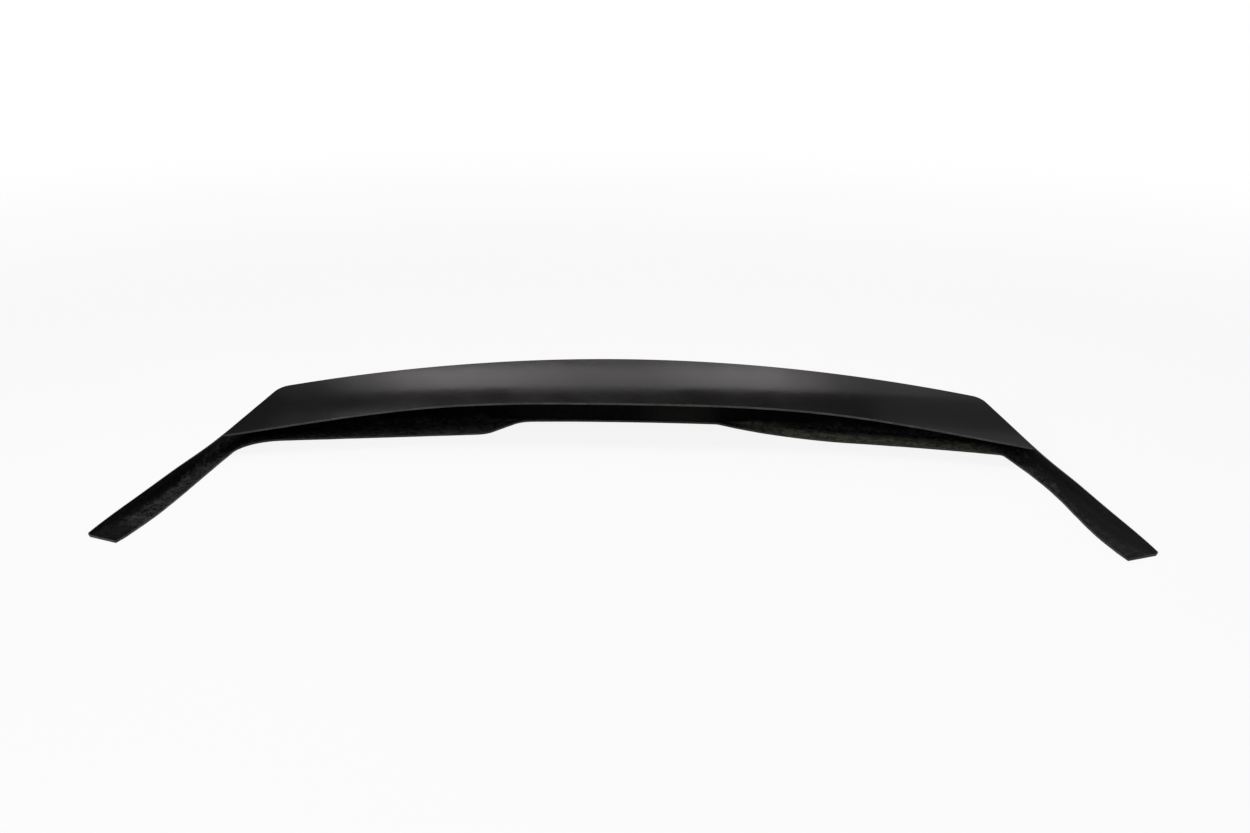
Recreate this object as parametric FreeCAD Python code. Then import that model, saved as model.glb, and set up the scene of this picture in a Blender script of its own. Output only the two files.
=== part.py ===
import FreeCAD, Part
import math
import os

V = FreeCAD.Vector

# Rear spoiler: one hand-laid glass-fibre shell, sizes in millimetres and degrees.
# X runs across the car, Y towards its rear, Z up; the bonding flange lies on z = 0.
# Plan sizes are measured from the centre plane and forward from the rear foot line.

LAMINATE = 3.0

# Rear wall: its foot is one arc in plan, and it leans forward as it rises.
REAR_RADIUS = 2350.0
REAR_LEAN = 15.0

# Foot line of each leg, from the rear corner forward to the tip.
CORNER_X = 574.0
ROOT_X = 609.0
ROOT_AHEAD = 195.0
MID_X = 629.0
MID_AHEAD = 300.0
FORE_X = 654.0
FORE_AHEAD = 425.0
TIP_X = 685.0
TIP_AHEAD = 514.0

# Inward lean of the leg wall at the same places, which turns into an outward flare.
CORNER_LEAN = 31.0
ROOT_LEAN = 28.0
MID_LEAN = 8.0
FORE_FLARE = 18.0
TIP_FLARE = 40.0

# Height of the crest above the bonding plane, and the crown of the top across the car.
CREST_HEIGHT = 111.0
CORNER_HEIGHT = 77.0
ROOT_HEIGHT = 35.5
MID_HEIGHT = 24.0
FORE_HEIGHT = 17.0
TIP_HEIGHT = 6.0
CROWN_RADIUS = 8745.0

# Leading edge of the top skin, in plan.
LEAD_AHEAD = 140.0
LEAD_BEND_X = 300.0
LEAD_BEND_AHEAD = 148.0
LEAD_END_X = 572.0
LEAD_END_AHEAD = 195.0

# Bonding flange: its width, hand-trimmed differently on the two sides behind the legs.
REAR_FLANGE = 66.0
LEFT_END_FLANGE = 56.0
LEFT_CORNER_FLANGE = 11.0
RIGHT_CORNER_FLANGE = 38.0
LEFT_ROOT_FLANGE = 24.0
RIGHT_ROOT_FLANGE = 34.0
MID_FLANGE = 29.0
FORE_FLANGE = 35.5
TIP_FLANGE = 46.5
LEFT_FLANGE_ROUND = 72.0
RIGHT_FLANGE_ROUND = 9.0

# The notch trimmed out of the rear flange: eased on the left, a long hollow on the right.
NOTCH_LIP = 5.0
NOTCH_LEFT = 169.0
NOTCH_LEFT_FLANK = 48.0
NOTCH_LEFT_ROUND = 38.0
NOTCH_RIGHT = 136.0
NOTCH_RIGHT_FLANK = 204.0
NOTCH_RIGHT_HOLLOW = 13.0

# The tips are trimmed on the skew: the inner corner runs further forward.
TIP_SKEW = 22.0

# Rounded edges.
CORNER_ROUND = 22.0
FOOT_ROUND = 3.0
CREST_ROUND = 2.0

TALL = CREST_HEIGHT + 25.0
BEYOND = 60.0


def slope(degrees):
    return math.tan(math.radians(degrees))


def rear_arc_y(x, radius):
    return math.sqrt(radius ** 2 - x ** 2) - REAR_RADIUS


def crown(x):
    return math.sqrt(CROWN_RADIUS ** 2 - x ** 2) - CROWN_RADIUS


def curve(points):
    spline = Part.BSplineCurve()
    spline.interpolate(Points=points)
    return spline.toShape()


# A curve paced by distance ahead, so that curves at two heights run level with each other.
def paced_curve(points):
    foot = leg_line(0.0)
    pace = [foot[0].y - p.y for p in foot]
    if points[0].x < 0:
        pace = [pace[-1] - value for value in reversed(pace)]
    spline = Part.BSplineCurve()
    spline.interpolate(Points=points, Parameters=pace)
    return spline.toShape()


def mirrored(points):
    return [V(-p.x, p.y, p.z) for p in reversed(points)]


def upright_edges(shape, front_y):
    found = []
    for edge in shape.Edges:
        ends = [vertex.Point for vertex in edge.Vertexes]
        rises = max(p.z for p in ends) - min(p.z for p in ends)
        if rises > LAMINATE and min(p.y for p in ends) > front_y:
            found.append(edge)
    return found


def foot_edges(shape, front_y):
    found = []
    for edge in shape.Edges:
        ends = [vertex.Point for vertex in edge.Vertexes]
        if max(p.z for p in ends) < 0.01 and max(p.y for p in ends) > front_y:
            found.append(edge)
    return found


def prism(wire, low, high):
    face = Part.Face(wire)
    face.translate(V(0, 0, low))
    return face.extrude(V(0, 0, high - low))


def leg_line(z):
    corner_y = rear_arc_y(CORNER_X, REAR_RADIUS) - z * slope(REAR_LEAN)
    corner = V(CORNER_X - z * slope(CORNER_LEAN), corner_y, z)
    root = V(ROOT_X - z * slope(ROOT_LEAN), -ROOT_AHEAD, z)
    middle = V(MID_X - z * slope(MID_LEAN), -MID_AHEAD, z)
    fore = V(FORE_X + z * slope(FORE_FLARE), -FORE_AHEAD, z)
    tip = V(TIP_X + z * slope(TIP_FLARE), -TIP_AHEAD, z)
    run_out = tip + (tip - fore) * (BEYOND / (TIP_AHEAD - FORE_AHEAD))
    return [corner, root, middle, fore, tip, run_out]


def wall_ring(z):
    right = leg_line(z)
    left = mirrored(right)
    rear_mid = V(0, -z * slope(REAR_LEAN), z)
    rear = Part.Arc(left[-1], rear_mid, right[0]).toShape()
    front = Part.makeLine(right[-1], left[0])
    return Part.Wire([paced_curve(left), rear, paced_curve(right), front])


# A block bounded by the leaning walls, with rounded rear corners.
def wall_block():
    block = Part.makeLoft([wall_ring(0.0), wall_ring(TALL)], True, True)
    return block.makeFillet(CORNER_ROUND, upright_edges(block, -ROOT_AHEAD))


# Side view of the crest line with the crown taken off, from the tip to the rear.
def top_profile():
    corner_y = rear_arc_y(CORNER_X, REAR_RADIUS) - CORNER_HEIGHT * slope(REAR_LEAN)
    places = [
        (TIP_X + TIP_HEIGHT * slope(TIP_FLARE), -TIP_AHEAD, TIP_HEIGHT),
        (FORE_X + FORE_HEIGHT * slope(FORE_FLARE), -FORE_AHEAD, FORE_HEIGHT),
        (MID_X - MID_HEIGHT * slope(MID_LEAN), -MID_AHEAD, MID_HEIGHT),
        (ROOT_X - ROOT_HEIGHT * slope(ROOT_LEAN), -ROOT_AHEAD, ROOT_HEIGHT),
        (CORNER_X - CORNER_HEIGHT * slope(CORNER_LEAN), corner_y, CORNER_HEIGHT),
        (0.0, -CREST_HEIGHT * slope(REAR_LEAN), CREST_HEIGHT),
    ]
    line = [V(0, y, z - crown(x)) for x, y, z in places]
    ahead = line[0] + line[0] - line[1]
    behind = line[-1] + line[-1] - line[-2]
    return curve([ahead] + line + [behind])


# Everything above the top surface: the side profile carried across over the crown.
def above_top(drop):
    sections = []
    for step in (-1.0, -0.5, 0.0, 0.5, 1.0):
        across = step * (TIP_X + TALL * slope(TIP_FLARE) + 2.0 * BEYOND)
        section = top_profile()
        section.translate(V(across, 0, crown(across) - drop))
        sections.append(Part.Wire([section]))
    surface = Part.makeLoft(sections, False, False)
    return surface.Faces[0].extrude(V(0, 0, 4.0 * TALL))


# The space ahead of the leading edge, where there is no top skin.
def ahead_of_lead():
    bend = V(LEAD_BEND_X, -LEAD_BEND_AHEAD, 0)
    end = V(LEAD_END_X, -LEAD_END_AHEAD, 0)
    right = [bend, end, end + end - bend]
    points = mirrored(right) + [V(0, -LEAD_AHEAD, 0)] + right
    far_left = V(points[0].x, -2.0 * TIP_AHEAD, 0)
    far_right = V(points[-1].x, -2.0 * TIP_AHEAD, 0)
    sides = Part.makePolygon([points[-1], far_right, far_left, points[0]])
    return prism(Part.Wire([curve(points)] + sides.Edges), LAMINATE, 2.0 * TALL)


# The upright edges of a floor cut that stand between two distances across the car.
def cut_corners(shape, low_x, high_x):
    found = []
    for edge in upright_edges(shape, -ROOT_AHEAD):
        if low_x < edge.Vertexes[0].Point.x < high_x:
            found.append(edge)
    return found


def flange_line(corner_width, root_width):
    widths = [corner_width, root_width, MID_FLANGE, FORE_FLANGE, TIP_FLANGE, TIP_FLANGE]
    return [p - V(width, 0, 0) for p, width in zip(leg_line(0.0), widths)]


# The floor inside the bonding flange: between the legs, and ahead of the rear flange.
def flange_opening():
    right = flange_line(RIGHT_CORNER_FLANGE, RIGHT_ROOT_FLANGE)
    left = mirrored(flange_line(LEFT_CORNER_FLANGE, LEFT_ROOT_FLANGE))
    rear = Part.makeLine(left[-1], right[0])
    front = Part.makeLine(right[-1], left[0])
    ring = Part.Wire([paced_curve(left), rear, paced_curve(right), front])
    between = prism(ring, -LAMINATE, 2.0 * LAMINATE)
    left_out = NOTCH_LEFT + NOTCH_LEFT_FLANK
    turn = V(-left_out, rear_arc_y(left_out, REAR_RADIUS - REAR_FLANGE), 0)
    end = V(-CORNER_X, rear_arc_y(CORNER_X, REAR_RADIUS - LEFT_END_FLANGE), 0)
    a = turn + (end - turn) * 1.5
    b = V(TIP_X, rear_arc_y(TIP_X, REAR_RADIUS - REAR_FLANGE), 0)
    arc = Part.Arc(turn, V(0, -REAR_FLANGE, 0), b).toShape()
    sides = Part.makePolygon([b, V(2.0 * TIP_X, b.y, 0), V(2.0 * TIP_X, -2.0 * TIP_AHEAD, 0),
                              V(-2.0 * TIP_X, -2.0 * TIP_AHEAD, 0), V(-2.0 * TIP_X, a.y, 0), a, turn])
    ahead = prism(Part.Wire([arc] + sides.Edges), -LAMINATE, 2.0 * LAMINATE)
    return between.common(ahead).Solids[0]


# The notch: close to the rear wall in the middle, its flanks easing out to the full flange.
def flange_notch():
    left_out = NOTCH_LEFT + NOTCH_LEFT_FLANK
    right_out = NOTCH_RIGHT + NOTCH_RIGHT_FLANK
    a = V(-left_out, rear_arc_y(left_out, REAR_RADIUS - REAR_FLANGE), 0)
    b = V(-NOTCH_LEFT, rear_arc_y(NOTCH_LEFT, REAR_RADIUS - NOTCH_LIP), 0)
    c = V(NOTCH_RIGHT, rear_arc_y(NOTCH_RIGHT, REAR_RADIUS - NOTCH_LIP), 0)
    d = V(right_out, rear_arc_y(right_out, REAR_RADIUS - REAR_FLANGE), 0)
    chord = d - c
    hollow = V(chord.y, -chord.x, 0).normalize() * NOTCH_RIGHT_HOLLOW
    left = Part.makeLine(a, b)
    rear = Part.Arc(b, V(0, -NOTCH_LIP, 0), c).toShape()
    right = Part.Arc(c, c + chord * 0.5 + hollow, d).toShape()
    front = Part.makePolygon([d, V(d.x, d.y - REAR_FLANGE, 0), V(a.x, d.y - REAR_FLANGE, 0), a])
    return prism(Part.Wire([left, rear, right] + front.Edges), -LAMINATE, 2.0 * LAMINATE)


# Opening and notch as one cut, with its corners rounded as they were trimmed.
def floor_cut():
    cut = flange_opening().fuse(flange_notch()).removeSplitter()
    flank_out = -NOTCH_LEFT - NOTCH_LEFT_FLANK
    cut = cut.makeFillet(NOTCH_LEFT_ROUND, cut_corners(cut, flank_out - 1.0, 1.0 - NOTCH_LEFT))
    cut = cut.makeFillet(LEFT_FLANGE_ROUND, cut_corners(cut, -TIP_X, flank_out - REAR_FLANGE))
    return cut.makeFillet(RIGHT_FLANGE_ROUND, cut_corners(cut, CORNER_X - REAR_FLANGE, TIP_X))


# Everything ahead of the skewed end of the right leg.
def ahead_of_tip():
    outer = V(TIP_X + TIP_HEIGHT * slope(TIP_FLARE), -TIP_AHEAD, 0)
    along = V(TIP_FLANGE, TIP_SKEW, 0)
    out = outer + along
    back = outer - along * 2.0
    points = [out, out - V(0, 2.0 * BEYOND, 0), V(0, out.y - 2.0 * BEYOND, 0), V(0, back.y, 0), back, out]
    return prism(Part.makePolygon(points), -TALL, TALL)


# The edges where the walls meet the top surface, from tip to tip.
def crest_edges(body, above):
    found = []
    for edge in body.Edges:
        middle = edge.valueAt((edge.FirstParameter + edge.LastParameter) / 2.0)
        front = min(vertex.Point.y for vertex in edge.Vertexes)
        if above.isInside(middle, 0.01, True) and front > -TIP_AHEAD - 0.01:
            found.append(edge)
    return found


# The outside of the moulding: walls, top, trimmed tips, and a rounded foot and crest.
block = wall_block()
above = above_top(0.0)
tip = ahead_of_tip()
outer = block.makeFillet(FOOT_ROUND, foot_edges(block, -TIP_AHEAD)).cut(above)
outer = outer.cut(tip).cut(tip.mirror(V(0, 0, 0), V(1, 0, 0))).Solids[0]
outer = outer.makeFillet(CREST_ROUND, crest_edges(outer, above))

# One laminate thickness inside it, open ahead of the leading edge and inside the flange.
inner = block.makeOffsetShape(-LAMINATE, 0.01)
shell = outer.cut(inner.cut(above_top(LAMINATE)))
shell = shell.cut(inner.common(ahead_of_lead()))
shell = shell.cut(floor_cut()).Solids[0]

# The origin is the middle of the bonding plane under the whole shell.
box = shell.optimalBoundingBox(False, False)
shell.translate(V(0, -box.Center.y, 0))
os.makedirs("parts", exist_ok=True)
shell.exportStep("parts/spoiler_shell.step")
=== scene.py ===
import math

import bmesh
import bpy
import numpy as np
from mathutils import Matrix, Vector


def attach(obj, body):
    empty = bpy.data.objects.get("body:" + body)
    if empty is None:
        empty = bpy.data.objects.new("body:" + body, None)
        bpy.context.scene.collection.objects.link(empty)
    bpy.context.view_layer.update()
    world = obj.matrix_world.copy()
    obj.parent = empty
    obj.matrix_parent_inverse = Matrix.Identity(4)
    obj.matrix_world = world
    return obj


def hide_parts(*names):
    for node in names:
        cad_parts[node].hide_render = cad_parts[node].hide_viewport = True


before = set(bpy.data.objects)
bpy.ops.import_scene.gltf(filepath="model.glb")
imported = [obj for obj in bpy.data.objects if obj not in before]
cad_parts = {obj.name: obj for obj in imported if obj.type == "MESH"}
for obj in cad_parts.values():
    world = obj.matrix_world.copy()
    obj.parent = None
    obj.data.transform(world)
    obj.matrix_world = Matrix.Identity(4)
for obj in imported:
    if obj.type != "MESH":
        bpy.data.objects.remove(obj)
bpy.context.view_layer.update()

MM = 0.001

# The moulding's own sizes, in millimetres and degrees, as in the part's source.
LAMINATE = 3.0
REAR_RADIUS = 2350.0
REAR_LEAN = 15.0
CORNER_X, CORNER_LEAN, CORNER_HEIGHT = 574.0, 31.0, 77.0
ROOT_X, ROOT_AHEAD, ROOT_LEAN, ROOT_HEIGHT = 609.0, 195.0, 28.0, 35.5
MID_X, MID_AHEAD, MID_LEAN, MID_HEIGHT = 629.0, 300.0, 8.0, 24.0
FORE_X, FORE_AHEAD, FORE_FLARE, FORE_HEIGHT = 654.0, 425.0, 18.0, 17.0
TIP_X, TIP_AHEAD, TIP_FLARE, TIP_HEIGHT = 685.0, 514.0, 40.0, 6.0
CREST_HEIGHT = 111.0
CROWN_RADIUS = 8745.0
LEAD_AHEAD = 140.0
LEAD_BEND_X, LEAD_BEND_AHEAD = 300.0, 148.0
LEAD_END_X, LEAD_END_AHEAD = 572.0, 195.0
REAR_FLANGE, LEFT_END_FLANGE = 66.0, 56.0
MID_FLANGE, FORE_FLANGE, TIP_FLANGE = 29.0, 35.5, 46.5
LEFT_FLANGE_ROUND, RIGHT_FLANGE_ROUND = 72.0, 9.0
NOTCH_LEFT, NOTCH_LEFT_FLANK, NOTCH_LEFT_ROUND = 169.0, 48.0, 38.0
NOTCH_RIGHT, NOTCH_RIGHT_FLANK, NOTCH_RIGHT_HOLLOW = 136.0, 204.0, 13.0
NOTCH_LIP = 5.0
TIP_SKEW = 22.0
CORNER_ROUND, FOOT_ROUND, CREST_ROUND = 22.0, 3.0, 2.0
TALL = CREST_HEIGHT + 25.0
BEYOND = 60.0

# Width of the flange on each leg: at its corner, root, middle, fore part and tip, and beyond it.
LEFT_FLANGE = (11.0, 24.0, MID_FLANGE, FORE_FLANGE, TIP_FLANGE, TIP_FLANGE)
RIGHT_FLANGE = (38.0, 34.0, MID_FLANGE, FORE_FLANGE, TIP_FLANGE, TIP_FLANGE)

# From the part's origin back to the middle of the rear wall's foot, and the tips' reach from the middle.
SHIFT_Y = 268.09
TIP_REACH = 688.15

# Rounds of the lay-up side, where resin fills the folds: along the rear, the legs and the roof, and
# the share of a leg over which its own round grows.
FOLD_ROUND, LEG_FOLD_ROUND, ROOF_ROUND = 6.0, 14.0, 8.0
FOLD_GROWTH = 0.25

# The most that a round takes of the faces beside it.
CREST_ROOM_DOWN, CREST_ROOM_AHEAD, FOOT_ROOM = 0.75, 0.95, 0.5
FOLD_ROOM, ROOF_ROOM = 0.45, 0.3

# The least that is left of the inner wall and of its top edge, at the tips.
LEAST_WALL, LEAST_EDGE = 0.05, 0.5

# Hand-trimmed edges: how far they wander and over what length, how far short of its drawn line the
# flange is cut and from what width on, over how many steps this fades at the ends, and what sets the
# noise of one side apart from the other's.
LEAD_WAVE, LEAD_WAVE_LENGTH = 0.25, 23.0
LEAD_NICK, LEAD_NICK_LENGTH = 0.15, 5.0
FLANGE_WAVE, FLANGE_WAVE_LENGTH = 0.5, 31.0
FLANGE_NICK, FLANGE_NICK_LENGTH = 0.25, 7.0
FLANGE_SHORT, NARROW_FLANGE, FLANGE_WIDENING = 0.8, 4.0, 8.0
LEAD_FADE_STEPS, FLANGE_FADE_STEPS = 12.0, 10.0
LEAD_SIDE_OFFSET, FLANGE_SIDE_OFFSET = 5000, 3000
LEAD_WAVE_SEED, LEAD_NICK_SEED, FLANGE_WAVE_SEED, FLANGE_NICK_SEED = 3, 4, 5, 6

# Lumps of the lay-up side and the ragged border of its dry mat: height, size and seed of each layer.
LUMPS = ((0.26, 17.0, 11), (0.22, 8.0, 12), (0.20, 4.0, 13))
LUMP_RISE, LUMP_MARGIN = 0.15, 5.0
MAT_RAGGED, MAT_RAGGED_REAR = ((0.15, 15.0, 21), (0.09, 5.0, 22)), 0.5

# Border of the dry mat as a share of the way from the flange's edge to the fold, and its changes
# along a leg: how much, from what share of the leg, and over what share.
MAT_BORDER, MAT_SOFTNESS = 1.02, 0.20
RIGHT_LEG_WET = (0.60, 0.12, 0.55)
RIGHT_TIP_DRY = (0.45, 0.90, 0.08)
LEFT_ROOT_DRY = (0.22, 0.02, 0.08)
LEFT_LEG_WET = (0.36, 0.28, 0.27)
RIGHT_LEG_DULL = (0.60, 0.40, 0.25)
LEFT_TIP_DULL = (0.92, 0.80, 0.12)

# How finely the shell is divided. A row stands at the support share of a span, to keep its end crisp.
REAR_STEPS, CORNER_STEPS, SKIN_LEG_STEPS, LEG_STEPS = 190, 10, 40, 160
SKIN_ROWS, WALL_ROWS, UNDER_ROWS, FLANGE_ROWS = 22, 9, 4, 26
INSIDE_ROWS, CEILING_ROWS, ROUND_ROWS, EDGE_ROWS = 10, 10, 5, 4
SUPPORT = 0.006
MERGE_COLUMN = REAR_STEPS + CORNER_STEPS + SKIN_LEG_STEPS

# How finely the lines behind the shell are worked out, how far they are searched, and small amounts.
CURVE_POINTS = 6000
NOTCH_POINTS, RUN_POINTS, LEG_POINTS, ARC_POINTS = 40, 80, 400, 25
BISECTIONS = 44
CORNER_SEARCH, PAST_TIP = 200.0, 45.0
MERGE_SEARCH = (0.02, 0.6)
NEARBY_POINT, LIP_STEPS, EDGE_SHARE = 9, 8.0, 0.25
JUST_SHORT, HEADING_STEP = 0.999, 0.0005
TINY, FLAT, STRAIGHT = 1e-9, 1e-6, 0.9999

# Distances in metres under which points of the mesh are joined and slivers taken out.
WELD, SLIVER = 2e-6, 1e-6

# Kinds of station along one half of the shell, and materials of its surfaces.
REAR, CORNER, LEG = 0, 1, 2
GELCOAT, LAYUP, CUT = 0, 1, 2


def slope(degrees):
    return math.tan(math.radians(degrees))


def unit(v):
    return v / np.maximum(np.linalg.norm(v, axis=-1, keepdims=True), TINY)


def right_of(heading):
    """Plan direction square to a heading, on its right."""
    return np.stack([heading[..., 1], -heading[..., 0]], -1)


def ease(x):
    x = np.clip(x, 0.0, 1.0)
    return x * x * (3.0 - 2.0 * x)


def run_along(points):
    """Distance along a line of points from its first."""
    return np.concatenate([[0.0], np.cumsum(np.linalg.norm(np.diff(points, axis=0), axis=1))])


def reach_across(grid):
    """Distance across the rows of a grid from its first row."""
    steps = np.linalg.norm(np.diff(grid, axis=0), axis=-1)
    return np.concatenate([np.zeros((1, grid.shape[1])), np.cumsum(steps, axis=0)])


def lift(plan, z):
    """Plan points at a height."""
    height = np.broadcast_to(np.asarray(z, float)[..., None], plan.shape[:-1] + (1,))
    return np.concatenate([plan, height], -1)


def between(a, b, rows):
    """Rows of points evenly spaced from line a to line b."""
    t = np.linspace(0.0, 1.0, rows)[:, None, None]
    return a[None] * (1.0 - t) + b[None] * t


def hash_noise(p, seed):
    """Smooth value noise in -1..1 at the rows of p, one cell per unit, from a hash of each cell."""
    low_bits = 0xFFFFFFFF
    half_range = 2147483648.0
    base = np.floor(p).astype(np.int64)
    w = p - base
    w = w * w * (3.0 - 2.0 * w)
    total = np.zeros(p.shape[:-1])
    for corner in range(8):
        bits = np.array([corner & 1, (corner >> 1) & 1, (corner >> 2) & 1])
        q = base + bits
        h = (q[..., 0] * 374761393 + q[..., 1] * 668265263 + q[..., 2] * 974634137
             + seed * 144269504) & low_bits
        h = ((h ^ (h >> 13)) * 1274126177) & low_bits
        h = h ^ (h >> 16)
        share = np.prod(np.where(bits == 1, w, 1.0 - w), axis=-1)
        total += share * (h / half_range - 1.0)
    return total


def noise_along(s, step, seed):
    """Noise along a line, read off the cells that one straight line passes through."""
    row, layer = 0.37, 0.71
    s = np.asarray(s, float) / step
    return hash_noise(np.stack([s, np.full_like(s, row), np.full_like(s, layer)], -1), seed)


def layered_noise(grid, layers):
    """Sum of noises over a grid, each with its height, size and seed."""
    return sum(height * hash_noise(grid / size, seed) for height, size, seed in layers)


def end_slope(t, p):
    """Slope at the first of four points of the cubic through them."""
    powers = np.vander(t - t[0], 4, increasing=True)
    return np.linalg.solve(powers, p)[1]


def spline(knots, points):
    """Smooth cubic through the points, with the end slopes of the end four."""
    t = np.asarray(knots, float)
    p = np.asarray(points, float)
    n = len(t)
    h = np.diff(t)
    a = np.zeros((n, n))
    b = np.zeros_like(p)
    a[0, 0] = a[-1, -1] = 1.0
    b[0] = end_slope(t[:4], p[:4])
    b[-1] = end_slope(t[::-1][:4], p[::-1][:4])
    for i in range(1, n - 1):
        a[i, i - 1] = 1.0 / h[i - 1]
        a[i, i] = 2.0 / h[i - 1] + 2.0 / h[i]
        a[i, i + 1] = 1.0 / h[i]
        b[i] = 3.0 * ((p[i] - p[i - 1]) / h[i - 1] ** 2 + (p[i + 1] - p[i]) / h[i] ** 2)
    m = np.linalg.solve(a, b)

    def at(q):
        q = np.asarray(q, float)
        i = np.clip(np.searchsorted(t, q) - 1, 0, n - 2)
        s = ((q - t[i]) / h[i])[..., None]
        hi = h[i][..., None]
        return ((1 + 2 * s) * (1 - s) ** 2 * p[i] + s * (1 - s) ** 2 * hi * m[i]
                + s * s * (3 - 2 * s) * p[i + 1] + s * s * (s - 1) * hi * m[i + 1])
    return at


def fine_curve(points):
    """Many points along the spline that is paced by the distance from point to point."""
    p = np.asarray(points, float)
    t = run_along(p)
    return spline(t, p)(np.linspace(0.0, t[-1], CURVE_POINTS))


def solve(test, low, high):
    """Bisect each entry for the place where test goes from negative to positive."""
    low = np.array(low, float)
    high = np.array(high, float)
    for _ in range(BISECTIONS):
        mid = (low + high) / 2.0
        below = test(mid) < 0.0
        low = np.where(below, mid, low)
        high = np.where(below, high, mid)
    return (low + high) / 2.0


def crown(x):
    return np.sqrt(CROWN_RADIUS ** 2 - np.square(x)) - CROWN_RADIUS


def rear_arc_y(x, radius):
    return np.sqrt(radius ** 2 - np.square(x)) - REAR_RADIUS


CORNER_Y = float(rear_arc_y(CORNER_X, REAR_RADIUS))


def leg_points(z):
    """Stations of the leg's outer wall at one height, from the corner to beyond the tip."""
    fore = np.array([FORE_X + z * slope(FORE_FLARE), -FORE_AHEAD])
    tip = np.array([TIP_X + z * slope(TIP_FLARE), -TIP_AHEAD])
    return np.array([
        [CORNER_X - z * slope(CORNER_LEAN), CORNER_Y - z * slope(REAR_LEAN)],
        [ROOT_X - z * slope(ROOT_LEAN), -ROOT_AHEAD],
        [MID_X - z * slope(MID_LEAN), -MID_AHEAD],
        fore, tip, tip + (tip - fore) * (BEYOND / (TIP_AHEAD - FORE_AHEAD))])


FOOT_POINTS = leg_points(0.0)
PACE = CORNER_Y - FOOT_POINTS[:, 1]
TIP_PACE = PACE[4]
TIP_TOP_X = TIP_X + TIP_HEIGHT * slope(TIP_FLARE)
TIP_RUN = (TIP_X - FORE_X) / (TIP_AHEAD - FORE_AHEAD)
LEG_LOW = spline(PACE, FOOT_POINTS)
LEG_HIGH = spline(PACE, leg_points(TALL))
HIGH_X = CORNER_X - TALL * slope(CORNER_LEAN)
HIGH_RADIUS = (HIGH_X ** 2 + CORNER_Y ** 2) / (-2.0 * CORNER_Y)
LOW_TURN = math.asin(CORNER_X / REAR_RADIUS)
HIGH_TURN = math.asin(HIGH_X / HIGH_RADIUS)


def rear_line(u, w):
    """Plan point of the rear wall at a share u of the way to its corner and a share w of its height."""
    w = np.asarray(w)[..., None]
    low = np.stack([REAR_RADIUS * np.sin(u * LOW_TURN),
                    REAR_RADIUS * np.cos(u * LOW_TURN) - REAR_RADIUS], -1)
    high = np.stack([HIGH_RADIUS * np.sin(u * HIGH_TURN),
                     HIGH_RADIUS * (np.cos(u * HIGH_TURN) - 1.0) - TALL * slope(REAR_LEAN)], -1)
    return low * (1.0 - w) + high * w


def leg_line(p, w):
    """Plan point of the leg's wall at a pace p from its corner and a share w of its height."""
    w = np.asarray(w)[..., None]
    return LEG_LOW(p) * (1.0 - w) + LEG_HIGH(p) * w


def wall(kind, s, z):
    """Plan point and heading of the outer wall at each station and height."""
    s = np.broadcast_to(np.asarray(s, float), np.shape(z))
    z = np.asarray(z, float)
    w = z / TALL
    one = np.ones_like(w)
    corner = rear_line(one, w)
    back = unit(corner - rear_line(one * JUST_SHORT, w))
    stride = leg_line(one, w) - leg_line(np.zeros_like(w), w)
    ahead = unit(stride)
    turn = np.arccos(np.clip((back * ahead).sum(-1), -1.0, 1.0))
    cut = CORNER_ROUND * np.tan(turn / 2.0)
    length = REAR_RADIUS * LOW_TURN * (1.0 - w) + HIGH_RADIUS * HIGH_TURN * w
    last_u = 1.0 - cut / length
    first_p = cut / np.linalg.norm(stride, axis=-1)
    short = TIP_TOP_X - TIP_X - z * slope(TIP_FLARE)
    last_p = TIP_PACE + short * TIP_SKEW / (TIP_FLANGE + TIP_SKEW * TIP_RUN)
    inward = right_of(back)
    centre = corner - back * cut[..., None] + inward * CORNER_ROUND

    def place(step):
        u = (s + step) * last_u
        p = first_p + (s + step) * (last_p - first_p)
        angle = ((s + step) * turn)[..., None]
        on_round = centre - CORNER_ROUND * (inward * np.cos(angle) - back * np.sin(angle))
        spot = np.where((kind == REAR)[..., None], rear_line(u, w), leg_line(p, w))
        return np.where((kind == CORNER)[..., None], on_round, spot)

    return place(0.0), unit(place(HEADING_STEP) - place(-HEADING_STEP))


def inner_wall(kind, s, z):
    """Plan point of the lay-up side, one laminate in from the leaning outer wall."""
    spot, heading = wall(kind, s, z)
    inward = right_of(heading)
    up, _ = wall(kind, s, np.asarray(z) + 1.0)
    lean = ((up - spot) * inward).sum(-1)
    return spot + inward * (LAMINATE * np.sqrt(1.0 + lean ** 2))[..., None]


def top_profile():
    """Side view of the crest line with the crown taken off, from the tip to the rear."""
    places = [
        (TIP_TOP_X, -TIP_AHEAD, TIP_HEIGHT),
        (FORE_X + FORE_HEIGHT * slope(FORE_FLARE), -FORE_AHEAD, FORE_HEIGHT),
        (MID_X - MID_HEIGHT * slope(MID_LEAN), -MID_AHEAD, MID_HEIGHT),
        (ROOT_X - ROOT_HEIGHT * slope(ROOT_LEAN), -ROOT_AHEAD, ROOT_HEIGHT),
        (CORNER_X - CORNER_HEIGHT * slope(CORNER_LEAN),
         CORNER_Y - CORNER_HEIGHT * slope(REAR_LEAN), CORNER_HEIGHT),
        (0.0, -CREST_HEIGHT * slope(REAR_LEAN), CREST_HEIGHT)]
    line = np.array([[y, z - crown(x)] for x, y, z in places])
    return fine_curve(np.vstack([2 * line[0] - line[1], line, 2 * line[-1] - line[-2]]))


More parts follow.
